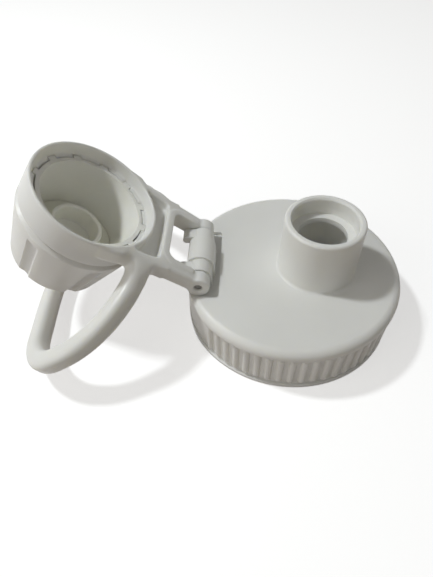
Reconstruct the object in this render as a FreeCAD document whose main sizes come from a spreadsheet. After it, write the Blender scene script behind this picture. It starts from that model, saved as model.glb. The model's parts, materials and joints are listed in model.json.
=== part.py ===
import FreeCAD, Part
import math
import os
import Sketcher

# Flip-top sport cap for a wide-neck bottle, shown open. The origin is on the lid's axis at the
# foot of its skirt, +Z up, the hinge on the -X side. What swings is modelled as it lies when
# shut, over the spout, and its placement then swings it open about the hinge pin.

doc = FreeCAD.newDocument("sport_cap")

SIZES = [
    # Lid moulding
    ("lid_radius", 35.0), ("lid_height", 18.4), ("lid_top_wall", 2.4),
    ("flange_depth", 3.0), ("flange_round", 2.6),
    ("skirt_radius", 33.8), ("skirt_wall", 2.4),
    ("foot_radius", 34.7), ("foot_height", 1.3), ("foot_round", 0.4),
    ("rib_radius", 1.15), ("rib_stand", 0.85), ("rib_end_gap", 0.8),
    ("rib_span", 276.0), ("rib_occurrences", 48),
    ("panel_reach", 33.9), ("panel_radius", 39.9),
    # Ring gasket that seals on the bottle's lip, and the bead that keeps it
    ("gasket_bead_radius", 24.6), ("gasket_bead_wall", 1.2), ("gasket_seat_step", 0.5),
    ("gasket_thickness", 1.8), ("gasket_fit", 0.15),
    # Spout
    ("spout_x", 8.2), ("spout_radius", 11.95), ("spout_rise", 19.0), ("spout_draft", 0.35),
    ("spout_round", 0.8), ("spout_foot_round", 1.0),
    ("bore_radius", 9.9), ("bore_depth", 5.6),
    ("seat_radius", 7.4), ("seat_thickness", 1.8), ("bore_draft", 0.25),
    # Hinge
    ("hinge_x", -29.0), ("hinge_height", 3.1), ("hinge_half_width", 14.0),
    ("open_angle", 143.0),
    ("pin_radius", 1.25), ("pin_recess", 0.8), ("pin_clearance", 0.05),
    ("barrel_radius", 3.5), ("knuckle_half_width", 9.4), ("ear_clearance", 0.3),
    ("bulge_radius", 4.2), ("bulge_half_width", 4.8),
    ("lug_length", 6.3), ("lug_width", 4.0), ("lug_height", 2.8), ("lug_round", 1.1),
    ("lug_drop", 0.5),
    ("pocket_depth", 1.2), ("pocket_edge", 6.2), ("pocket_side_gap", 0.5), ("pocket_round", 1.0),
    # Flip arm
    ("arm_gap", 0.75), ("arm_thickness", 5.2), ("arm_round", 1.2), ("arm_web", 2.4),
    ("arm_root_half_width", 14.2), ("arm_waist_x", 11.0), ("arm_flare", 3.7),
    ("window_length", 12.4), ("window_round", 2.5), ("frame_wall", 2.1), ("frame_rise", 0.35),
    # Collar ring round the knob
    ("collar_gap", 0.55), ("collar_height", 9.35), ("collar_radius", 19.0),
    ("collar_wall", 1.55), ("collar_rim_round", 0.6), ("mouth_flare", 0.55),
    ("lip_depth", 3.65), ("lip_height", 2.0), ("lip_width", 1.15),
    ("snap_height", 1.4), ("snap_depth", 0.45), ("snap_lift", 1.5),
    ("key_occurrences", 12), ("key_width", 2.4), ("key_height", 2.4), ("key_fit", 0.25),
    # Twist knob
    ("knob_fit", 0.15), ("knob_gap", 0.3), ("shoulder_rise", 1.6), ("knob_height", 20.9), ("knob_radius", 19.05),
    ("knob_top_radius", 14.6), ("knob_round", 2.2), ("knob_wall", 2.2), ("knob_skirt_wall", 1.0),
    ("shoulder_thickness", 1.3),
    ("flute_occurrences", 6), ("flute_radius", 2.3), ("flute_depth", 1.3), ("flute_start", 2.2),
    ("post_radius", 3.4), ("post_end_gap", 2.2),
    # Inner cup with its plug
    ("cup_travel", 1.5), ("cup_rim_lift", 0.2), ("cup_mouth_radius", 14.85),
    ("cup_floor_radius", 13.0), ("cup_wall", 1.1), ("cup_floor", 2.0),
    ("cup_fit", 0.4), ("plug_radius", 8.0), ("plug_wall", 1.3), ("plug_entry", 3.4),
    ("nut_wall", 1.9), ("nut_height", 5.0), ("nut_fit", 0.25),
    ("seal_thickness", 1.5), ("seal_fit", 0.1), ("seal_squeeze_gap", 0.1),
    # Carrying handle, one piece with the arm
    ("handle_x", 20.0), ("handle_lift", 3.65), ("handle_lean", 15.6),
    ("handle_half_width", 36.5), ("handle_bar", 6.4), ("handle_thickness", 6.0),
    ("handle_reach", 45.8), ("handle_shoulder", 40.3), ("handle_corner", 14.0),
    ("handle_crown", 89.0), ("leg_bend", 25.5), ("leg_start", 19.7), ("leg_inset", 6.0),
    ("leg_slope", 17.0), ("leg_blend", 4.0), ("leg_root_half_width", 16.6), ("leg_root_slope", 8.0),
    ("handle_round", 2.2),
]

sheet = doc.addObject("Spreadsheet::Sheet", "Sizes")
for row, (name, value) in enumerate(SIZES, start=1):
    sheet.set(f"A{row}", name)
    sheet.set(f"B{row}", str(value))
    sheet.setAlias(f"B{row}", name)
doc.recompute()
NAMES = sorted((name for name, value in SIZES), key=len, reverse=True)


def cell(words):
    """A sum of size names, such as 'lid_radius - skirt_wall', as a sheet expression."""
    parts = words.replace("(", " ( ").replace(")", " ) ").split()
    text = " ".join(f"Sizes.{part}" if part in NAMES else part for part in parts)
    return text.replace("sqrt (", "sqrt(").replace("tan (", "tan(")


def size(words):
    """The number that such a sum comes to."""
    return float(sheet.evalExpression(cell(words)))


# Heights and places that several pieces share
HINGE_Z = "( lid_height + hinge_height )"
POCKET_Z = "( lid_height - pocket_depth )"
CEILING_Z = "( lid_height - lid_top_wall )"
RIM_Z = "( lid_height + spout_rise )"
SEAT_Z = f"( {RIM_Z} - bore_depth )"
ARM_Z = "( lid_height + arm_gap )"
COLLAR_Z = "( lid_height + collar_gap )"
COLLAR_TOP_Z = f"( {COLLAR_Z} + collar_height )"
COLLAR_BORE = "( collar_radius - collar_wall )"
LIP_Z = f"( {COLLAR_Z} + lip_depth )"
LIP_TOP_Z = f"( {LIP_Z} + lip_height )"
CUP_Z = f"( {LIP_Z} + cup_rim_lift )"
SEAL_Z = f"( {RIM_Z} + cup_travel + seal_squeeze_gap )"
CUP_FLOOR_Z = f"( {SEAL_Z} + seal_thickness )"
CUP_TOP_Z = f"( {CUP_FLOOR_Z} + cup_floor )"
SKIRT_BORE = f"( {COLLAR_BORE} - knob_fit - knob_skirt_wall )"
SHOULDER_Z = f"( {COLLAR_TOP_Z} + knob_gap + shoulder_rise )"
KNOB_TOP_Z = f"( {SHOULDER_Z} + knob_height )"
KNOB_CEILING_Z = f"( {KNOB_TOP_Z} - knob_wall )"
FLANGE_Z = "( lid_height - flange_depth )"
CAVITY = "( skirt_radius - skirt_wall )"
GASKET_Z = f"( {CEILING_Z} - gasket_thickness )"
GASKET_SEAT = f"( {CAVITY} - gasket_seat_step )"


def origin(body, role):
    return next(part for part in body.Origin.OriginFeatures if part.Role == role)


def new_body(label):
    body = doc.addObject("PartDesign::Body", label)
    body.Label = label
    return body


def new_sketch(body, name, role, lift="0", shift_x="0", shift_y="0", tilt_axis=None, tilt="0"):
    """A sketch on one of the body's own planes, moved along its normal and tilted."""
    sketch = body.newObject("Sketcher::SketchObject", name)
    sketch.AttachmentSupport = [(origin(body, role), "")]
    sketch.MapMode = "FlatFace"
    if tilt_axis is not None:
        sketch.AttachmentOffset = FreeCAD.Placement(
            FreeCAD.Vector(), FreeCAD.Rotation(tilt_axis, size(tilt)))
        sketch.setExpression("AttachmentOffset.Rotation.Angle", cell(tilt))
    for letter, words in (("x", shift_x), ("y", shift_y), ("z", lift)):
        if words != "0":
            sketch.setExpression(f"AttachmentOffset.Base.{letter}", cell(words))
    return sketch


def pin_point(sketch, place, x_words, y_words):
    """Ties a point of the sketch to its distances from the sketch's origin."""
    for kind, words, axis in (("DistanceX", x_words, -2), ("DistanceY", y_words, -1)):
        distance = size(words)
        if words == "0":
            sketch.addConstraint(Sketcher.Constraint("PointOnObject", *place, axis))
            continue
        index = sketch.addConstraint(Sketcher.Constraint(kind, -1, 1, *place, distance))
        sketch.setExpression(f"Constraints[{index}]", cell(words))


def tie_radius(sketch, curve, words):
    index = sketch.addConstraint(Sketcher.Constraint("Radius", curve, size(words)))
    sketch.setExpression(f"Constraints[{index}]", cell(words))


def axis_line(sketch, x_words):
    """An upright construction line, the sketch's Axis0, that features turn about."""
    x = size(x_words)
    line = sketch.addGeometry(
        Part.LineSegment(FreeCAD.Vector(x, 0, 0), FreeCAD.Vector(x, 10, 0)), True)
    pin_point(sketch, (line, 1), x_words, "0")
    sketch.addConstraint(Sketcher.Constraint("Vertical", line))
    sketch.addConstraint(Sketcher.Constraint("DistanceY", line, 1, line, 2, 10))


def outline(sketch, corners):
    """A closed outline. A corner is (x, y) or (x, y, round), each a sum of size names."""
    count = len(corners)
    points = [FreeCAD.Vector(size(c[0]), size(c[1]), 0) for c in corners]
    rounds = [size(c[2]) if len(c) == 3 else 0.0 for c in corners]
    starts, ends, turns = [], [], []
    for i in range(count):
        back = (points[i - 1] - points[i]).normalize()
        ahead = (points[(i + 1) % count] - points[i]).normalize()
        half = back.getAngle(ahead) / 2
        reach = rounds[i] / math.tan(half)
        ends.append(points[i] + back * reach)
        starts.append(points[i] + ahead * reach)
        turns.append(ahead.cross(back).z)
    lines = [sketch.addGeometry(Part.LineSegment(starts[i], ends[(i + 1) % count]), False)
             for i in range(count)]
    for i in range(count):
        before, after = lines[i - 1], lines[i]
        if rounds[i] == 0:
            sketch.addConstraint(Sketcher.Constraint("Coincident", before, 2, after, 1))
            pin_point(sketch, (after, 1), corners[i][0], corners[i][1])
            continue
        chord = (ends[i] + starts[i]) * 0.5
        to_corner = (points[i] - chord).normalize()
        half_chord = (starts[i] - ends[i]).Length / 2
        rise = rounds[i] - math.sqrt(max(rounds[i] ** 2 - half_chord ** 2, 0.0))
        arc = sketch.addGeometry(Part.Arc(ends[i], chord + to_corner * rise, starts[i]), False)
        first, last = (1, 2) if turns[i] > 0 else (2, 1)
        sketch.addConstraint(Sketcher.Constraint("Tangent", before, 2, arc, first))
        sketch.addConstraint(Sketcher.Constraint("Tangent", arc, last, after, 1))
        tie_radius(sketch, arc, corners[i][2])
        corner = sketch.addGeometry(Part.Point(points[i]), True)
        pin_point(sketch, (corner, 1), corners[i][0], corners[i][1])
        sketch.addConstraint(Sketcher.Constraint("PointOnObject", corner, 1, before))
        sketch.addConstraint(Sketcher.Constraint("PointOnObject", corner, 1, after))


def ring(sketch, x_words, y_words, radius_words):
    centre = FreeCAD.Vector(size(x_words), size(y_words), 0)
    circle = sketch.addGeometry(
        Part.Circle(centre, FreeCAD.Vector(0, 0, 1), size(radius_words)), False)
    pin_point(sketch, (circle, 3), x_words, y_words)
    tie_radius(sketch, circle, radius_words)


def turned(body, name, sketch, cut=False, axis="V_Axis", angle="360", both=False):
    feature = body.newObject("PartDesign::Groove" if cut else "PartDesign::Revolution", name)
    feature.Profile = sketch
    feature.ReferenceAxis = (sketch, [axis])
    feature.Midplane = both
    feature.Angle = size(angle)
    if angle != "360":
        feature.setExpression("Angle", cell(angle))
    return feature


def raised(body, name, sketch, length, both=False, reverse=False):
    feature = body.newObject("PartDesign::Pad", name)
    feature.Profile = sketch
    feature.Midplane = both
    feature.Reversed = reverse
    feature.Length = size(length)
    feature.setExpression("Length", cell(length))
    return feature


def sunk(body, name, sketch, length, both=False, reverse=False):
    feature = body.newObject("PartDesign::Pocket", name)
    feature.Profile = sketch
    feature.Midplane = both
    feature.Reversed = reverse
    feature.Length = size(length)
    feature.setExpression("Length", cell(length))
    return feature


def around(body, name, feature, axis, occurrences, span="360"):
    pattern = body.newObject("PartDesign::PolarPattern", name)
    pattern.Originals = [feature]
    pattern.Axis = axis
    pattern.Angle = size(span)
    if span != "360":
        pattern.setExpression("Angle", cell(span))
    pattern.Occurrences = int(size(occurrences))
    pattern.setExpression("Occurrences", cell(occurrences))
    body.Tip = pattern
    return pattern


def mirrored(body, name, feature):
    """The feature's twin on the far side of the cap's plane of symmetry."""
    copy = body.newObject("PartDesign::Mirrored", name)
    copy.Originals = [feature]
    copy.MirrorPlane = (origin(body, "XZ_Plane"), [""])
    body.Tip = copy
    return copy


def rounded(body, name, base, radius, wanted):
    """Rounds the edges of the base feature whose middle point passes the test."""
    doc.recompute()
    edges = []
    for i, edge in enumerate(base.Shape.Edges, start=1):
        middle = edge.valueAt((edge.FirstParameter + edge.LastParameter) / 2)
        if wanted(middle, edge):
            edges.append(f"Edge{i}")
    feature = body.newObject("PartDesign::Fillet", name)
    feature.Base = (base, edges)
    feature.Radius = size(radius)
    feature.setExpression("Radius", cell(radius))
    return feature


def swung_open():
    """Turns what swings from its shut place to the open one, about the hinge pin."""
    pin = FreeCAD.Vector(size("hinge_x"), 0, size(HINGE_Z))
    turn = FreeCAD.Rotation(FreeCAD.Vector(0, 1, 0), -size("open_angle"))
    return FreeCAD.Placement(FreeCAD.Vector(), turn, pin)


def lid_body():
    """The lid: top, rounded flange, ribbed skirt, spout and hinge knuckle in one moulding."""
    body = new_body("lid_body")
    shell = new_sketch(body, "lid_section", "XZ_Plane")
    bead_out = "( gasket_bead_radius + gasket_bead_wall )"
    outline(shell, [
        (CAVITY, "0"), ("foot_radius", "0", "foot_round"),
        ("foot_radius", "foot_height", "foot_round"), ("skirt_radius", "foot_height"),
        ("skirt_radius", FLANGE_Z), ("lid_radius", FLANGE_Z), ("lid_radius", "lid_height", "flange_round"),
        ("0", "lid_height"), ("0", CEILING_Z), ("gasket_bead_radius", CEILING_Z),
        ("gasket_bead_radius", GASKET_Z), (bead_out, GASKET_Z), (bead_out, CEILING_Z),
        (GASKET_SEAT, CEILING_Z), (GASKET_SEAT, GASKET_Z), (CAVITY, GASKET_Z),
    ])
    turned(body, "lid_shell", shell)

    panel = new_sketch(body, "hinge_panel_section", "XZ_Plane")
    axis_line(panel, "panel_radius - panel_reach")
    outline(panel, [
        ("- lid_radius - 3", "- 1"), ("- panel_reach", "- 1"),
        ("- panel_reach", "lid_height + 1"), ("- lid_radius - 3", "lid_height + 1"),
    ])
    turned(body, "hinge_panel", panel, cut=True, axis="Axis0", angle="90", both=True)

    rib = new_sketch(body, "rib_section", "XZ_Plane", tilt_axis=FreeCAD.Vector(0, 1, 0),
                     tilt="- rib_span / 2")
    rib_ring = "( skirt_radius + rib_stand - rib_radius )"
    axis_line(rib, rib_ring)
    rib_low = "( foot_height + rib_end_gap )"
    rib_high = f"( {FLANGE_Z} - rib_end_gap )"
    rib_out = f"( {rib_ring} + rib_radius )"
    outline(rib, [
        (rib_ring, rib_low), (rib_out, rib_low, "rib_radius * 0.98"),
        (rib_out, rib_high, "rib_radius * 0.98"), (rib_ring, rib_high),
    ])
    first_rib = turned(body, "rib", rib, axis="Axis0")
    around(body, "ribs", first_rib, (origin(body, "Z_Axis"), [""]), "rib_occurrences", "rib_span")

    spout = new_sketch(body, "spout_section", "XZ_Plane")
    axis_line(spout, "spout_x")
    foot = "( spout_x + spout_radius + spout_draft )"
    edge = "( spout_x + spout_radius )"
    outline(spout, [
        ("spout_x", CEILING_Z), (f"{foot} + spout_foot_round", CEILING_Z),
        (f"{foot} + spout_foot_round", "lid_height"),
        (foot, "lid_height", "spout_foot_round * 0.9"), (edge, RIM_Z, "spout_round"),
        ("spout_x", RIM_Z),
    ])
    turned(body, "spout", spout, axis="Axis0")

    bore = new_sketch(body, "bore_section", "XZ_Plane")
    axis_line(bore, "spout_x")
    mouth = "( spout_x + bore_radius )"
    seat = "( spout_x + seat_radius )"
    seat_low = f"( {SEAT_Z} - seat_thickness )"
    outline(bore, [
        ("spout_x", f"{CEILING_Z} - 1"), (f"{mouth} + bore_draft", f"{CEILING_Z} - 1"),
        (mouth, seat_low, "0.6"), (seat, seat_low), (seat, SEAT_Z), (mouth, SEAT_Z),
        (mouth, f"{RIM_Z} - 0.6"), (f"{mouth} + 0.5", f"{RIM_Z} + 0.1"),
        ("spout_x", f"{RIM_Z} + 0.1"),
    ])
    turned(body, "spout_bore", bore, cut=True, axis="Axis0")

    pocket = new_sketch(body, "hinge_pocket_outline", "XY_Plane", lift="lid_height")
    side = "( hinge_half_width + pocket_side_gap )"
    edge_x = "( hinge_x + pocket_edge )"
    outline(pocket, [
        ("- lid_radius - 3", f"- {side}"), (edge_x, f"- {side}", "pocket_round"),
        (edge_x, side, "pocket_round"), ("- lid_radius - 3", side),
    ])
    sunk(body, "hinge_pocket", pocket, "pocket_depth")

    def knuckle(name, radius, half_width):
        """A length of the hinge barrel with its web down to the pocket's floor."""
        section = new_sketch(body, f"{name}_section", "XZ_Plane")
        low = f"( {POCKET_Z} - 0.6 )"
        outline(section, [
            (f"hinge_x - {radius}", low), (f"hinge_x + {radius} + 0.6", low),
            (f"hinge_x + {radius}", f"{HINGE_Z} + {radius}", f"{radius} * 0.99"),
            (f"hinge_x - {radius}", f"{HINGE_Z} + {radius}", f"{radius} * 0.99"),
        ])
        raised(body, name, section, f"2 * {half_width}", both=True)

    knuckle("knuckle", "barrel_radius", "knuckle_half_width")
    knuckle("knuckle_bulge", "bulge_radius", "bulge_half_width")

    lug = new_sketch(body, "lug_section", "XZ_Plane", lift="knuckle_half_width - lug_width")
    lug_high = f"( {HINGE_Z} + barrel_radius - lug_drop )"
    outline(lug, [
        ("hinge_x", f"{lug_high} - lug_height"), ("hinge_x", lug_high),
        ("hinge_x - lug_length", f"{lug_high} - 0.4", "lug_round"),
        ("hinge_x - lug_length", f"{lug_high} - lug_height", "lug_round"),
    ])
    near_lug = raised(body, "stop_lug", lug, "lug_width")
    mirrored(body, "far_stop_lug", near_lug)

    hole = new_sketch(body, "pin_hole_outline", "XZ_Plane")
    ring(hole, "hinge_x", HINGE_Z, "pin_radius")
    sunk(body, "pin_hole", hole, "2 * hinge_half_width", both=True)
    return body


def lid_gasket():
    """Soft ring in the lid's ceiling that the bottle's lip presses on."""
    body = new_body("lid_gasket")
    section = new_sketch(body, "gasket_section", "XZ_Plane")
    inner = "( gasket_bead_radius + gasket_bead_wall + gasket_fit )"
    outer = f"( {GASKET_SEAT} - gasket_fit )"
    outline(section, [
        (inner, GASKET_Z, "0.4"), (outer, GASKET_Z, "0.4"), (outer, CEILING_Z), (inner, CEILING_Z),
    ])
    turned(body, "gasket", section)
    return body


def hinge_pin():
    """Straight steel pin, tight in the lid's knuckle; its ends stop short of the ears' faces."""
    body = new_body("hinge_pin")
    section = new_sketch(body, "pin_outline", "XZ_Plane")
    ring(section, "hinge_x", HINGE_Z, "pin_radius")
    raised(body, "pin", section, "2 * ( hinge_half_width - pin_recess )", both=True)
    return body


def handle_body():
    """The carrying loop by itself, its long edges rounded, before the arm takes it in."""
    body = new_body("handle")
    bar = "handle_bar / 2"
    loop = new_sketch(body, "handle_outline", "YZ_Plane", lift="hinge_x + handle_x",
                      shift_y=f"{ARM_Z} + handle_lift", tilt_axis=FreeCAD.Vector(1, 0, 0),
                      tilt="handle_lean")
    rise = "( ( handle_reach - handle_shoulder ) / handle_half_width )"
    slant = f"sqrt( 1 + {rise} * {rise} )"
    run = "tan( leg_slope * 1 deg )"
    leg_slant = f"sqrt( 1 + {run} * {run} )"

    def handle_side(sign, offset):
        """Corner points of one side of the loop, at this offset from its centre line."""
        wide = f"( handle_half_width {offset} {bar} )"
        shoulder = f"handle_reach {offset} {bar} * {slant} - {rise} * {wide}"
        other = "-" if offset == "+" else "+"
        elbow = f"( {wide} - leg_start ) * {run} {other} {bar} * {leg_slant}"
        foot = f"- leg_inset * {run} {other} {bar} * {leg_slant}"
        return [
            (f"{sign} ( leg_start - leg_inset )", foot),
            (f"{sign} {wide}", elbow, f"leg_bend {offset} {bar}"),
            (f"{sign} {wide}", shoulder, f"handle_corner {offset} {bar}"),
        ]

    right_out, left_out = handle_side("", "+"), handle_side("-", "+")
    right_in, left_in = handle_side("", "-"), handle_side("-", "-")
    crown_out = [("0", f"handle_reach + {bar} * {slant}", f"handle_crown + {bar}")]
    crown_in = [("0", f"handle_reach - {bar} * {slant}", f"handle_crown - {bar}")]
    outline(loop, right_out + crown_out + left_out[::-1] + left_in + crown_in + right_in[::-1])
    bar_loop = raised(body, "handle_loop", loop, "handle_thickness", both=True)
    rounded(body, "handle_edges", bar_loop, "handle_round",
            lambda p, e: abs(p.y) < 0.1 and p.z > size(COLLAR_TOP_Z))
    return body


def flip_arm():
    """Arm, ears, collar ring and carrying handle, moulded in one piece."""
    body = new_body("flip_arm")
    plate = new_sketch(body, "arm_outline", "XY_Plane", lift=ARM_Z)
    waist_x = "( hinge_x + arm_waist_x )"
    end_y = "( collar_radius - 0.3 )"
    waist_y = "( arm_root_half_width + 0.3 )"
    flare_x = "( spout_x - collar_radius / 2 )"
    flare_y = "( arm_root_half_width + arm_flare )"
    outline(plate, [
        ("hinge_x", "- hinge_half_width"), (waist_x, f"- {waist_y}", "12"),
        (flare_x, f"- {flare_y}", "20"), ("spout_x", f"- {end_y}"), ("spout_x", end_y),
        (flare_x, flare_y, "20"), (waist_x, waist_y, "12"), ("hinge_x", "hinge_half_width"),
    ])
    slab = raised(body, "arm_plate", plate, "arm_thickness")
    near_edge = size("hinge_x") + 0.5
    far_edge = size("spout_x") - 0.5
    rounded(body, "arm_edges", slab, "arm_round",
            lambda p, e: near_edge < p.x < far_edge and abs(p.y) > size("arm_root_half_width") - 1
            and e.BoundBox.ZLength < 0.01)

    joined = body.newObject("PartDesign::Boolean", "handle_joined")
    joined.setObjects([handle_body()])
    joined.Type = "Fuse"

    leg_x = "( hinge_x + handle_x - handle_thickness / 2 )"
    gusset = new_sketch(body, "leg_gusset_outline", "XY_Plane", lift=ARM_Z)
    gusset_y = "( leg_root_half_width - leg_blend / 4 )"
    tab_y = "( leg_root_half_width + 0.7 * leg_blend )"
    outline(gusset, [
        (f"{leg_x} - 1.4 * leg_blend", "arm_root_half_width - 2"),
        (f"{leg_x} - 1.4 * leg_blend", f"{gusset_y} - 0.8"),
        (leg_x, gusset_y, "leg_blend"), (leg_x, tab_y), (f"{leg_x} + 4", tab_y),
        (f"{leg_x} + 4", "arm_root_half_width - 2"),
    ])
    near_gusset = raised(body, "leg_gusset", gusset, "arm_thickness")
    mirrored(body, "far_leg_gusset", near_gusset)

    trim = new_sketch(body, "leg_root_trim_outline", "YZ_Plane", lift="hinge_x + handle_x")
    trim_y = "( leg_root_half_width + 2 * leg_blend )"
    trim_rise = "2 * leg_blend * tan( leg_root_slope * 1 deg )"
    outline(trim, [
        ("arm_root_half_width - 4", f"{ARM_Z} - 8"), (trim_y, f"{ARM_Z} - 8"),
        (trim_y, f"{ARM_Z} + {trim_rise}"), ("leg_root_half_width", ARM_Z),
        ("arm_root_half_width - 4", ARM_Z),
    ])
    near_trim = sunk(body, "leg_root_trim", trim, "4 * handle_thickness", both=True)
    mirrored(body, "far_leg_root_trim", near_trim)

    ear = new_sketch(body, "ear_outline", "XZ_Plane", lift="knuckle_half_width + ear_clearance")
    ring(ear, "hinge_x", HINGE_Z, "barrel_radius")
    near_ear = raised(body, "ear", ear, "hinge_half_width - knuckle_half_width - ear_clearance")
    mirrored(body, "far_ear", near_ear)

    window_x = f"( {waist_x} + window_length - arm_waist_x )"
    window_y = "( knuckle_half_width + ear_clearance )"
    frame = new_sketch(body, "window_frame_outline", "XY_Plane", lift=ARM_Z)
    frame_x = f"( {window_x} + frame_wall )"
    frame_y = f"( {window_y} + frame_wall )"
    outline(frame, [
        ("hinge_x + barrel_radius", f"- {frame_y}"), (frame_x, f"- {frame_y}", "window_round + frame_wall"),
        (frame_x, frame_y, "window_round + frame_wall"), ("hinge_x + barrel_radius", frame_y),
    ])
    raised(body, "window_frame", frame, "frame_rise", reverse=True)

    hollow = new_sketch(body, "arm_hollow_outline", "XY_Plane", lift=ARM_Z)
    hollow_x = f"( {frame_x} + 0.4 )"
    outline(hollow, [
        (hollow_x, f"- {frame_y}", "1.5"), (f"{flare_x} + 5", f"- {frame_y} - 2.2"),
        (f"{flare_x} + 5", f"{frame_y} + 2.2"), (hollow_x, frame_y, "1.5"),
    ])
    sunk(body, "arm_hollow", hollow, "arm_thickness - arm_web", reverse=True)

    window = new_sketch(body, "window_outline", "XY_Plane", lift=f"{ARM_Z} - 5")
    outline(window, [
        ("hinge_x - 8", f"- {window_y}"), (window_x, f"- {window_y}", "window_round"),
        (window_x, window_y, "window_round"), ("hinge_x - 8", window_y),
    ])
    sunk(body, "window", window, "arm_thickness + 12", reverse=True)

    collar = new_sketch(body, "collar_section", "XZ_Plane")
    axis_line(collar, "spout_x")
    outer = "( spout_x + collar_radius )"
    outline(collar, [
        ("spout_x", COLLAR_Z), (outer, COLLAR_Z, "collar_rim_round"), (outer, COLLAR_TOP_Z, "0.4"),
        ("spout_x", COLLAR_TOP_Z),
    ])
    turned(body, "collar", collar, axis="Axis0")

    inside = new_sketch(body, "collar_bore_section", "XZ_Plane")
    axis_line(inside, "spout_x")
    bore = f"( spout_x + {COLLAR_BORE} )"
    lip = f"( {bore} - lip_width )"
    snap = f"( {bore} + snap_depth )"
    snap_low = f"( {LIP_TOP_Z} + snap_lift )"
    outline(inside, [
        ("spout_x", f"{COLLAR_Z} - 1"), (f"{bore} + mouth_flare + 0.3", f"{COLLAR_Z} - 1"),
        (f"{bore} + mouth_flare", f"{COLLAR_Z} + 0.1"), (bore, LIP_Z, "0.4"), (lip, LIP_Z),
        (lip, LIP_TOP_Z), (bore, LIP_TOP_Z), (bore, snap_low), (snap, f"{snap_low} + snap_depth"),
        (snap, f"{snap_low} + snap_height"), (bore, f"{snap_low} + snap_height + snap_depth"),
        (bore, f"{COLLAR_TOP_Z} + 1"), ("spout_x", f"{COLLAR_TOP_Z} + 1"),
    ])
    turned(body, "collar_bore", inside, cut=True, axis="Axis0")

    slot = new_sketch(body, "key_slot_outline", "XY_Plane", lift=f"{LIP_Z} - 0.1")
    half_key = "( key_width / 2 + key_fit )"
    outline(slot, [
        (f"{lip} - 1", f"- {half_key}"), (f"{bore} - 0.05", f"- {half_key}"),
        (f"{bore} - 0.05", half_key), (f"{lip} - 1", half_key),
    ])
    first_slot = sunk(body, "key_slot", slot, "lip_height + 0.2", reverse=True)
    around(body, "key_slots", first_slot, (collar, ["Axis0"]), "key_occurrences")

    hole = new_sketch(body, "pin_hole_outline", "XZ_Plane")
    ring(hole, "hinge_x", HINGE_Z, "pin_radius + pin_clearance")
    sunk(body, "pin_hole", hole, "2 * hinge_half_width + 2", both=True)
    body.Placement = swung_open()
    return body


def twist_knob():
    """Tapered grip that turns in the collar, held by a snap bead, with a screw post inside."""
    body = new_body("twist_knob")
    section = new_sketch(body, "knob_section", "XZ_Plane")
    axis_line(section, "spout_x")
    skirt = f"( spout_x + {COLLAR_BORE} - knob_fit )"
    skirt_in = f"( spout_x + {SKIRT_BORE} )"
    skirt_z = f"( {LIP_TOP_Z} + 0.8 )"
    bead_z = f"( {LIP_TOP_Z} + snap_lift + 0.2 )"
    bead = f"( {skirt} + snap_depth )"
    top_in = "( spout_x + knob_top_radius - knob_wall )"
    post = "( spout_x + post_radius )"
    post_z = f"( {CUP_TOP_Z} + post_end_gap )"
    outline(section, [
        (skirt_in, skirt_z), (skirt, skirt_z), (skirt, bead_z), (bead, f"{bead_z} + snap_depth"),
        (bead, f"{bead_z} + snap_height - 0.4"), (skirt, f"{bead_z} + snap_height + snap_depth - 0.4"),
        (skirt, f"{SHOULDER_Z} - shoulder_rise"), ("spout_x + knob_radius", SHOULDER_Z, "0.5"),
        ("spout_x + knob_top_radius", KNOB_TOP_Z, "knob_round"), ("spout_x", KNOB_TOP_Z),
        ("spout_x", post_z), (post, post_z, "0.4"), (post, KNOB_CEILING_Z, "0.8"),
        (top_in, KNOB_CEILING_Z, "1.5"), (skirt_in, f"{SHOULDER_Z} + shoulder_thickness"),
    ])
    turned(body, "knob", section, axis="Axis0")

    def flute_circle(name, height, edge):
        """Where the grip flute's round cutter stands at this height of the taper."""
        circle = new_sketch(body, name, "XY_Plane", lift=height)
        ring(circle, f"spout_x + {edge} + flute_radius - flute_depth", "0", "flute_radius")
        return circle

    taper = "( ( knob_radius - knob_top_radius ) / knob_height )"
    low = flute_circle("flute_start_outline", f"{SHOULDER_Z} + flute_start",
                       f"knob_radius - flute_start * {taper}")
    high = flute_circle("flute_end_outline", f"{KNOB_TOP_Z} + 1", f"knob_top_radius - {taper}")
    flute = body.newObject("PartDesign::SubtractiveLoft", "flute")
    flute.Profile = low
    flute.Sections = [high]
    around(body, "flutes", flute, (section, ["Axis0"]), "flute_occurrences")
    body.Placement = swung_open()
    return body


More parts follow.
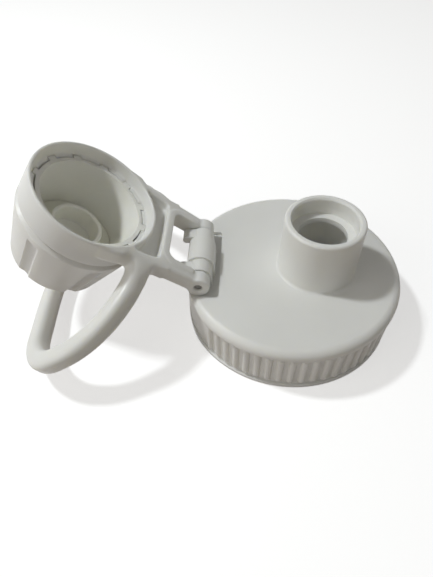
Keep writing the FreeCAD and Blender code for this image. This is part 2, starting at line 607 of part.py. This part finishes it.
def inner_cup():
    """Cup that drops over the spout: key tabs, sealing plug and the screw post's nut."""
    body = new_body("inner_cup")
    section = new_sketch(body, "cup_section", "XZ_Plane")
    axis_line(section, "spout_x")
    mouth = "( spout_x + cup_mouth_radius )"
    floor = "( spout_x + cup_floor_radius )"
    plug = "( spout_x + plug_radius )"
    plug_in = f"( {plug} - plug_wall )"
    plug_z = f"( {RIM_Z} - plug_entry )"
    nut_in = "( spout_x + post_radius + nut_fit )"
    nut = f"( {nut_in} + nut_wall )"
    nut_z = f"( {CUP_TOP_Z} + nut_height )"
    outline(section, [
        (mouth, CUP_Z), (f"{mouth} + cup_wall", CUP_Z), (f"{mouth} + cup_wall", f"{CUP_Z} + 5"),
        (f"{floor} + cup_wall", CUP_FLOOR_Z), (f"{floor} + cup_wall - 0.6", CUP_TOP_Z, "0.6"),
        (nut, CUP_TOP_Z, "0.5"), (nut, nut_z, "0.3"), (nut_in, nut_z), (nut_in, CUP_TOP_Z),
        ("spout_x", CUP_TOP_Z), ("spout_x", CUP_FLOOR_Z), (plug_in, CUP_FLOOR_Z),
        (plug_in, plug_z, "0.4"), (plug, plug_z, "0.4"), (plug, CUP_FLOOR_Z), (floor, CUP_FLOOR_Z),
    ])
    turned(body, "cup", section, axis="Axis0")
    key = new_sketch(body, "key_outline", "XY_Plane", lift=CUP_Z)
    key_out = f"( spout_x + {COLLAR_BORE} - key_fit )"
    outline(key, [
        (f"{mouth} + cup_wall / 2", "- key_width / 2"), (key_out, "- key_width / 2", "0.4"),
        (key_out, "key_width / 2", "0.4"), (f"{mouth} + cup_wall / 2", "key_width / 2"),
    ])
    first_key = raised(body, "key", key, "key_height")
    around(body, "keys", first_key, (section, ["Axis0"]), "key_occurrences")
    body.Placement = swung_open()
    return body


def spout_seal():
    """Soft washer on the cup's floor, round the plug, that seals on the spout's rim."""
    body = new_body("spout_seal")
    section = new_sketch(body, "seal_section", "XZ_Plane")
    axis_line(section, "spout_x")
    inner = "( spout_x + plug_radius + seal_fit )"
    outer = "( spout_x + cup_floor_radius - seal_fit )"
    outline(section, [(inner, SEAL_Z), (outer, SEAL_Z), (outer, CUP_FLOOR_Z), (inner, CUP_FLOOR_Z)])
    turned(body, "seal", section, axis="Axis0")
    body.Placement = swung_open()
    return body


subparts = [lid_body(), lid_gasket(), hinge_pin(), flip_arm(), twist_knob(), inner_cup(), spout_seal()]
doc.recompute()

for thing in doc.Objects:
    if "Invalid" in thing.State or "Error" in thing.State:
        raise RuntimeError(f"{thing.Name} failed: {thing.State}")
for subpart in subparts:
    if subpart.Shape.isNull() or not subpart.Shape.isValid() or len(subpart.Shape.Solids) != 1:
        raise RuntimeError(f"{subpart.Label} is not one valid solid")

os.makedirs("parts", exist_ok=True)
for subpart in subparts:
    subpart.Shape.exportStep(f"parts/{subpart.Label}.step")
    print(subpart.Label, round(subpart.Shape.Volume / 1000, 2), "cm3")
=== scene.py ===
import json
import math

import bmesh
import bpy
import numpy as np
from mathutils import Matrix, Vector


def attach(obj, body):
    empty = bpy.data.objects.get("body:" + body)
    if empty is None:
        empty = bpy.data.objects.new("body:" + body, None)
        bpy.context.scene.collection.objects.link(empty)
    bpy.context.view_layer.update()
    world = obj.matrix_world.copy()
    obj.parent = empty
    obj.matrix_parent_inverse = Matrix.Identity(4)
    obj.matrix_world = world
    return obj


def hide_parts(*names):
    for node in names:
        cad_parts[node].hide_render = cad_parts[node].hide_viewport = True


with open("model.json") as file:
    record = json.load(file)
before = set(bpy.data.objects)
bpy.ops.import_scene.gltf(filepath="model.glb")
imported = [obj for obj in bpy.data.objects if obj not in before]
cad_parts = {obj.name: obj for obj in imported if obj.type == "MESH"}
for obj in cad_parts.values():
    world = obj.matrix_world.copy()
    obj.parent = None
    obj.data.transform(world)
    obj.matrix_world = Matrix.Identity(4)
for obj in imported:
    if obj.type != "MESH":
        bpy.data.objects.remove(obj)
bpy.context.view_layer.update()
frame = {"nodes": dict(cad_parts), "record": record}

# The lid: top, flange, ribbed skirt, spout and hinge knuckle, moulded in one shot of white
# polypropylene. The mould is fine-blasted, so the skin is satin, with a faint cloud in the white
# where the plastic cooled at different speeds.
lid = frame["nodes"]["lid_body"]


def satin_polypropylene(name, white, cloud, sheen_low, sheen_high, see_into):
    """A moulded white plastic: clouded colour, uneven satin and a very fine blasted grain.

    see_into is how far light spreads under the skin, in metres.
    """
    plastic = bpy.data.materials.new(name)
    plastic.use_nodes = True
    nodes, links = plastic.node_tree.nodes, plastic.node_tree.links
    skin = nodes["Principled BSDF"]
    skin.inputs["IOR"].default_value = 1.49
    skin.inputs["Subsurface Weight"].default_value = 0.5
    skin.inputs["Subsurface Radius"].default_value = (1.0, 0.96, 0.80)
    skin.inputs["Subsurface Scale"].default_value = see_into
    place = nodes.new("ShaderNodeTexCoord")

    drift = nodes.new("ShaderNodeTexNoise")
    drift.inputs["Scale"].default_value = 38
    drift.inputs["Detail"].default_value = 3
    links.new(place.outputs["Object"], drift.inputs["Vector"])
    tone = nodes.new("ShaderNodeValToRGB")
    tone.color_ramp.elements[0].position = 0.32
    tone.color_ramp.elements[0].color = (*cloud, 1)
    tone.color_ramp.elements[1].position = 0.66
    tone.color_ramp.elements[1].color = (*white, 1)
    links.new(drift.outputs["Fac"], tone.inputs["Fac"])
    links.new(tone.outputs["Color"], skin.inputs["Base Color"])

    wear = nodes.new("ShaderNodeTexNoise")
    wear.inputs["Scale"].default_value = 240
    wear.inputs["Detail"].default_value = 5
    links.new(place.outputs["Object"], wear.inputs["Vector"])
    satin = nodes.new("ShaderNodeMapRange")
    satin.inputs["From Min"].default_value = 0.3
    satin.inputs["From Max"].default_value = 0.7
    satin.inputs["To Min"].default_value = sheen_low
    satin.inputs["To Max"].default_value = sheen_high
    links.new(wear.outputs["Fac"], satin.inputs["Value"])
    links.new(satin.outputs["Result"], skin.inputs["Roughness"])

    blast = nodes.new("ShaderNodeTexNoise")
    blast.inputs["Scale"].default_value = 2600
    blast.inputs["Detail"].default_value = 2
    links.new(place.outputs["Object"], blast.inputs["Vector"])
    tooth = nodes.new("ShaderNodeBump")
    tooth.inputs["Strength"].default_value = 0.25
    tooth.inputs["Distance"].default_value = 0.00002
    links.new(blast.outputs["Fac"], tooth.inputs["Height"])
    links.new(tooth.outputs["Normal"], skin.inputs["Normal"])
    return plastic


def finish_node(node, finish):
    """Gives a carried-over piece its finish in place of the plain one it came with."""
    node.data.materials.clear()
    node.data.materials.append(finish)


LID_WHITE, LID_CLOUD = (0.83, 0.83, 0.80), (0.79, 0.79, 0.76)
lid_white = satin_polypropylene("lid_white", LID_WHITE, LID_CLOUD, 0.36, 0.48, 0.003)
finish_node(lid, lid_white)

# The neck thread: one rounded ridge that winds up the inside of the skirt and screws on to the
# bottle's neck. It is moulded with the lid and runs out to nothing at both ends.
THREAD_WALL, THREAD_STAND = 0.0314, 0.0011
THREAD_LOW, THREAD_PITCH, THREAD_TURNS = 0.0032, 0.0042, 1.9
THREAD_START, RUN_OUT_TURNS, STEPS_A_TURN = 0.6, 0.1, 120
THREAD_PROFILE = [(-0.0013, -0.0003), (-0.0010, 0.0004), (-0.0005, 0.0009), (0.0, THREAD_STAND),
                  (0.0005, 0.0009), (0.0010, 0.0004), (0.0013, -0.0003)]


def wind_neck_thread():
    """The ridge as a swept bump, its height eased in and out over a tenth of a turn."""
    mesh = bmesh.new()
    steps = int(THREAD_TURNS * STEPS_A_TURN)
    rows = []
    for step in range(steps + 1):
        turn = step / steps * THREAD_TURNS
        growth = min(1.0, turn / RUN_OUT_TURNS, (THREAD_TURNS - turn) / RUN_OUT_TURNS)
        growth = math.sin(growth * math.pi / 2)
        angle = turn * 2 * math.pi + THREAD_START
        height = THREAD_LOW + turn * THREAD_PITCH
        row = []
        for along, stand in THREAD_PROFILE:
            reach = THREAD_WALL - (stand * growth if stand > 0 else stand)
            point = (reach * math.cos(angle), reach * math.sin(angle), height + along * growth)
            row.append(mesh.verts.new(point))
        rows.append(row)
    for before, after in zip(rows, rows[1:]):
        for i in range(len(THREAD_PROFILE) - 1):
            mesh.faces.new((before[i], before[i + 1], after[i + 1], after[i]))
        mesh.faces.new((before[-1], before[0], after[0], after[-1]))
    mesh.faces.new(rows[0])
    mesh.faces.new(rows[-1][::-1])
    bmesh.ops.recalc_face_normals(mesh, faces=mesh.faces)
    data = bpy.data.meshes.new("neck_thread")
    mesh.to_mesh(data)
    mesh.free()
    data.shade_smooth()
    ridge = bpy.data.objects.new("neck_thread", data)
    bpy.context.scene.collection.objects.link(ridge)
    return ridge


neck_thread = wind_neck_thread()
neck_thread.data.materials.append(lid_white)
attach(neck_thread, "lid")

# The neck gasket: a flat ring of milky silicone, cut from sheet and snapped in under the lid's
# top, between the skirt's step and a low bead. The bottle's lip presses on it.
gasket = frame["nodes"]["lid_gasket"]


def milky_silicone(name, body, shade):
    """Soft seal rubber: slightly see-into, dull, with a dusty unevenness."""
    rubber = bpy.data.materials.new(name)
    rubber.use_nodes = True
    nodes, links = rubber.node_tree.nodes, rubber.node_tree.links
    skin = nodes["Principled BSDF"]
    skin.inputs["IOR"].default_value = 1.41
    skin.inputs["Subsurface Weight"].default_value = 0.35
    skin.inputs["Subsurface Radius"].default_value = (1.0, 1.0, 0.8)
    skin.inputs["Subsurface Scale"].default_value = 0.002
    place = nodes.new("ShaderNodeTexCoord")
    dust = nodes.new("ShaderNodeTexNoise")
    dust.inputs["Scale"].default_value = 90
    dust.inputs["Detail"].default_value = 6
    links.new(place.outputs["Object"], dust.inputs["Vector"])
    tone = nodes.new("ShaderNodeValToRGB")
    tone.color_ramp.elements[0].position = 0.35
    tone.color_ramp.elements[0].color = (*shade, 1)
    tone.color_ramp.elements[1].position = 0.65
    tone.color_ramp.elements[1].color = (*body, 1)
    links.new(dust.outputs["Fac"], tone.inputs["Fac"])
    links.new(tone.outputs["Color"], skin.inputs["Base Color"])
    dull = nodes.new("ShaderNodeMapRange")
    dull.inputs["To Min"].default_value = 0.5
    dull.inputs["To Max"].default_value = 0.68
    links.new(dust.outputs["Fac"], dull.inputs["Value"])
    links.new(dull.outputs["Result"], skin.inputs["Roughness"])
    return rubber


seal_silicone = milky_silicone("seal_silicone", (0.86, 0.86, 0.76), (0.82, 0.82, 0.72))
finish_node(gasket, seal_silicone)

# The hinge pin: a length of plain steel wire pushed through the ears and the knuckle. Its cut
# ends sit a little way inside the ears.
pin = frame["nodes"]["hinge_pin"]


def drawn_steel(name):
    """Drawn steel wire: dark grey, with fine lines round it from the die."""
    steel = bpy.data.materials.new(name)
    steel.use_nodes = True
    nodes, links = steel.node_tree.nodes, steel.node_tree.links
    skin = nodes["Principled BSDF"]
    skin.inputs["Metallic"].default_value = 1.0
    place = nodes.new("ShaderNodeTexCoord")
    stretch = nodes.new("ShaderNodeMapping")
    stretch.inputs["Scale"].default_value = (3000, 120, 3000)
    links.new(place.outputs["Object"], stretch.inputs["Vector"])
    lines = nodes.new("ShaderNodeTexNoise")
    lines.inputs["Scale"].default_value = 1
    lines.inputs["Detail"].default_value = 4
    links.new(stretch.outputs["Vector"], lines.inputs["Vector"])
    tone = nodes.new("ShaderNodeValToRGB")
    tone.color_ramp.elements[0].color = (0.10, 0.095, 0.09, 1)
    tone.color_ramp.elements[1].color = (0.26, 0.25, 0.235, 1)
    links.new(lines.outputs["Fac"], tone.inputs["Fac"])
    links.new(tone.outputs["Color"], skin.inputs["Base Color"])
    matt = nodes.new("ShaderNodeMapRange")
    matt.inputs["To Min"].default_value = 0.3
    matt.inputs["To Max"].default_value = 0.55
    links.new(lines.outputs["Fac"], matt.inputs["Value"])
    links.new(matt.outputs["Result"], skin.inputs["Roughness"])
    return steel


finish_node(pin, drawn_steel("pin_steel"))

# The flip arm: arm, collar ring and carrying loop in one moulding of the same white plastic as
# the lid. Where the loop leaves the rails the mould is well rounded, so the solid's skin is
# remade here as one even mesh and its two roots are eased. The loop is handled, so it is smoother.
arm = frame["nodes"]["flip_arm"]
SKIN_GRID, FACES_KEPT = 0.0003, 0.35
# The legs' roots: how far they shift, and between which sides and heights the shift fades.
LEG_SHIFT, LEG_ROOT, LEG_TOP = (-0.0016, -0.0029, 0.0031), (0.013, 0.025), (0.030, 0.052)
# How much thicker a leg gets below its middle, how deep that reaches, and where it fades.
LEG_MIDDLE, LEG_SWELL, SWELL_DEPTH = -0.0105, 0.22, 0.005
SWELL_RISE, SWELL_FALL, SWELL_TOP = (0.0165, 0.0195), (0.0195, 0.027), (0.026, 0.030)
# What stays put: the collar ring from its front inwards, and the ears.
COLLAR_FRONT, COLLAR_SIDE, EAR_END = (-0.0055, -0.0035), (0.0192, 0.0198), (-0.021, -0.016)
# Where the smoothing is strongest, how strong it is there and elsewhere, and how often it runs.
ROOT_CENTRE, ROOT_REACH = (-0.0102, 0.0168, 0.0230), 0.0088
ROOT_EASE, SKIN_EASE, EASE_PASSES = 0.5, 0.02, 60


def shut_pose():
    """What turns the arm from the open rest pose to the shut one, where its sizes are plain."""
    hinge = next(j for j in frame["record"]["behaviour"]["joints"] if j["name"] == "arm_hinge")
    centre = Matrix.Translation(Vector(hinge["pos_m"]))
    return centre @ Matrix.Rotation(math.radians(hinge["range_deg"][1]), 4, "Y") @ centre.inverted()


def remade_skin(solid, grid, turned):
    """The solid's outside as an even mesh of small faces."""
    data = solid.data.copy()
    data.transform(turned)
    draft = bpy.data.objects.new("draft", data)
    bpy.context.scene.collection.objects.link(draft)
    even = draft.modifiers.new("even", "REMESH")
    even.mode = "VOXEL"
    even.voxel_size = grid
    depsgraph = bpy.context.evaluated_depsgraph_get()
    skin = bpy.data.meshes.new_from_object(draft.evaluated_get(depsgraph))
    bpy.data.objects.remove(draft)
    bpy.data.meshes.remove(data)
    return skin


def ease(low, high, value):
    """0 below low, 1 above high and a smooth step between."""
    part = np.clip((value - low) / (high - low), 0, 1)
    return part * part * (3 - 2 * part)


def eased_roots(skin):
    """Slopes the loop's roots back under the rails and rounds them off."""
    count = len(skin.vertices)
    points = np.empty(count * 3)
    skin.vertices.foreach_get("co", points)
    points = points.reshape(-1, 3)
    ends = np.empty(len(skin.edges) * 2, dtype=np.int32)
    skin.edges.foreach_get("vertices", ends)
    ends = ends.reshape(-1, 2)
    out = np.abs(points[:, 1])
    swell = LEG_SWELL * ease(*SWELL_RISE, out) * (1 - ease(*SWELL_FALL, out))
    swell *= 1 - ease(*SWELL_TOP, points[:, 2])
    points[:, 0] += swell * np.clip(points[:, 0] - LEG_MIDDLE, -SWELL_DEPTH, 0)
    collar = ease(*COLLAR_FRONT, points[:, 0]) * (1 - ease(*COLLAR_SIDE, out))
    share = ease(*LEG_ROOT, out) * (1 - ease(*LEG_TOP, points[:, 2])) * (1 - collar)
    share *= ease(*EAR_END, points[:, 0])
    points[:, 0] += share * LEG_SHIFT[0]
    points[:, 1] += share * LEG_SHIFT[1] * np.sign(points[:, 1])
    points[:, 2] += share * LEG_SHIFT[2]

    folded = np.column_stack([points[:, 0], np.abs(points[:, 1]), points[:, 2]])
    away = np.linalg.norm(folded - ROOT_CENTRE, axis=1)
    weight = ROOT_EASE * (1 - ease(0.5, 1.0, away / ROOT_REACH))[:, None] + SKIN_EASE
    degree = np.bincount(ends.ravel(), minlength=count)[:, None]
    for _ in range(EASE_PASSES):
        total = np.stack([
            np.bincount(ends[:, 0], points[ends[:, 1], axis], count)
            + np.bincount(ends[:, 1], points[ends[:, 0], axis], count)
            for axis in range(3)], axis=1)
        points += weight * (total / degree - points)
    skin.vertices.foreach_set("co", points.ravel())
    skin.update()


def moulded_arm():
    """The arm's own mesh, back in the open pose and thinned to what the curves need."""
    turned = shut_pose()
    skin = remade_skin(arm, SKIN_GRID, turned)
    eased_roots(skin)
    skin.transform(turned.inverted())
    whole = bpy.data.objects.new("flip_arm_moulding", skin)
    bpy.context.scene.collection.objects.link(whole)
    thin = whole.modifiers.new("thin", "DECIMATE")
    thin.ratio = FACES_KEPT
    depsgraph = bpy.context.evaluated_depsgraph_get()
    light = bpy.data.meshes.new_from_object(whole.evaluated_get(depsgraph))
    whole.modifiers.clear()
    whole.data = light
    bpy.data.meshes.remove(skin)
    light.shade_smooth()
    return whole


moulding = moulded_arm()
arm_white = satin_polypropylene("arm_white", LID_WHITE, LID_CLOUD, 0.32, 0.45, 0.003)
finish_node(moulding, arm_white)
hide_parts("flip_arm")
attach(moulding, "arm")

# The twist knob: a hollow tapered cup of white plastic that snaps into the collar and turns in
# it. Shallow flutes round it give the fingers a hold.
knob = frame["nodes"]["twist_knob"]
KNOB_WHITE, KNOB_CLOUD = (0.82, 0.815, 0.785), (0.78, 0.775, 0.745)
knob_white = satin_polypropylene("knob_white", KNOB_WHITE, KNOB_CLOUD, 0.36, 0.50, 0.003)
finish_node(knob, knob_white)

# The inner cup: a thin milky moulding, less filled than the lid, so it looks faintly green and
# deeper. It slides in the collar on its keys and carries the plug that closes the spout.
cup = frame["nodes"]["inner_cup"]
CUP_MILK, CUP_CLOUD = (0.97, 0.965, 0.895), (0.95, 0.945, 0.875)
cup_milky = satin_polypropylene("cup_milky", CUP_MILK, CUP_CLOUD, 0.34, 0.46, 0.001)
finish_node(cup, cup_milky)

# The spout seal: a washer of the same milky silicone as the neck gasket, seated on the cup's
# floor round the plug.
seal = frame["nodes"]["spout_seal"]
finish_node(seal, seal_silicone)

# The table: a plain pale top that the cap stands on. The camera sees it white, with the cap's
# soft shadow on it, and what it throws back on to the plastic is a little warmer. From below it
# is clear, so that the lid's inside can be looked at.
TABLE_REACH, TABLE_DROP = 1.5, -0.00005


def seen_directly(nodes, links):
    """1 where the camera looks straight at it, or by way of a mirror or glass, and else 0."""
    ray = nodes.new("ShaderNodeLightPath")
    shiny = nodes.new("ShaderNodeMath")
    shiny.operation = "MAXIMUM"
    links.new(ray.outputs["Is Glossy Ray"], shiny.inputs[0])
    links.new(ray.outputs["Is Transmission Ray"], shiny.inputs[1])
    either = nodes.new("ShaderNodeMath")
    either.operation = "MAXIMUM"
    links.new(ray.outputs["Is Camera Ray"], either.inputs[0])
    links.new(shiny.outputs["Value"], either.inputs[1])
    return either.outputs["Value"]


def lay_table():
    """A flat sheet a hair below the lid's foot, its colour lifted to white for the camera."""
    data = bpy.data.meshes.new("table")
    corners = [(-1, -1), (1, -1), (1, 1), (-1, 1)]
    points = [(TABLE_REACH * x, TABLE_REACH * y, TABLE_DROP) for x, y in corners]
    data.from_pydata(points, [], [(0, 1, 2, 3)])
    sheet = bpy.data.objects.new("table", data)
    bpy.context.scene.collection.objects.link(sheet)
    top = bpy.data.materials.new("table_white")
    top.use_nodes = True
    nodes, links = top.node_tree.nodes, top.node_tree.links
    bounce = nodes["Principled BSDF"]
    bounce.inputs["Base Color"].default_value = (0.38, 0.32, 0.28, 1)
    bounce.inputs["Roughness"].default_value = 0.8
    paint = nodes.new("ShaderNodeBsdfDiffuse")
    paint.inputs["Color"].default_value = (0.72, 0.72, 0.72, 1)
    glow = nodes.new("ShaderNodeEmission")
    glow.inputs["Color"].default_value = (1, 1, 1, 1)
    glow.inputs["Strength"].default_value = 0.56
    lifted = nodes.new("ShaderNodeAddShader")
    links.new(paint.outputs["BSDF"], lifted.inputs[0])
    links.new(glow.outputs["Emission"], lifted.inputs[1])
    mixed = nodes.new("ShaderNodeMixShader")
    links.new(seen_directly(nodes, links), mixed.inputs["Fac"])
    links.new(bounce.outputs["BSDF"], mixed.inputs[1])
    links.new(lifted.outputs["Shader"], mixed.inputs[2])
    clear = nodes.new("ShaderNodeBsdfTransparent")
    side = nodes.new("ShaderNodeNewGeometry")
    above = nodes.new("ShaderNodeMixShader")
    links.new(side.outputs["Backfacing"], above.inputs["Fac"])
    links.new(mixed.outputs["Shader"], above.inputs[1])
    links.new(clear.outputs["BSDF"], above.inputs[2])
    links.new(above.outputs["Shader"], nodes["Material Output"].inputs["Surface"])
    data.materials.append(top)
    return sheet


lay_table()

# The light: one small cool window high on the left, whose shadows run to the right, a wide pale
# screen lower down that softens them, and a plain room that is a little warmer.
CAP_MIDDLE = (-0.02, 0, 0.02)
room = bpy.data.worlds.new("room")
bpy.context.scene.world = room
room.use_nodes = True
air, wires = room.node_tree.nodes, room.node_tree.links
walls = air["Background"]
walls.inputs["Color"].default_value = (1.0, 0.97, 0.90, 1)
walls.inputs["Strength"].default_value = 0.18
white = air.new("ShaderNodeBackground")
white.inputs["Color"].default_value = (1, 1, 1, 1)
white.inputs["Strength"].default_value = 1.0
choose = air.new("ShaderNodeMixShader")
wires.new(seen_directly(air, wires), choose.inputs["Fac"])
wires.new(walls.outputs["Background"], choose.inputs[1])
wires.new(white.outputs["Background"], choose.inputs[2])
wires.new(choose.outputs["Shader"], air["World Output"].inputs["Surface"])


def hang_window(name, place, aim, width, watts, tint):
    """A square soft light that looks at one point."""
    light = bpy.data.lights.new(name, "AREA")
    light.shape = "SQUARE"
    light.size = width
    light.energy = watts
    light.color = tint
    lamp = bpy.data.objects.new(name, light)
    bpy.context.scene.collection.objects.link(lamp)
    lamp.location = place
    reach = [b - a for a, b in zip(place, aim)]
    length = math.sqrt(sum(r * r for r in reach))
    lamp.rotation_euler = (math.acos(-reach[2] / length), 0,
                           math.atan2(reach[1], reach[0]) - math.pi / 2)


hang_window("window", (-0.334, 0.064, 0.526), CAP_MIDDLE, 0.05, 1.75, (0.95, 0.985, 1.0))
hang_window("screen", (-0.545, -0.35, 0.321), CAP_MIDDLE, 0.50, 1.0, (1.0, 0.98, 0.94))

# The camera stands where the photograph was taken from: in front, high, turned a little.
lens = bpy.data.cameras.new("camera")
lens.sensor_width = 36
lens.lens = 27.14
lens.shift_x = -0.00113
lens.shift_y = 0.00296
lens.clip_start = 0.01
camera = bpy.data.objects.new("camera", lens)
bpy.context.scene.collection.objects.link(camera)
camera.location = (-0.017645, -0.098219, 0.121871)
camera.rotation_euler = (math.radians(39.898), math.radians(0.929), math.radians(2.656))
bpy.context.scene.camera = camera
bpy.context.scene.view_settings.view_transform = "Standard"
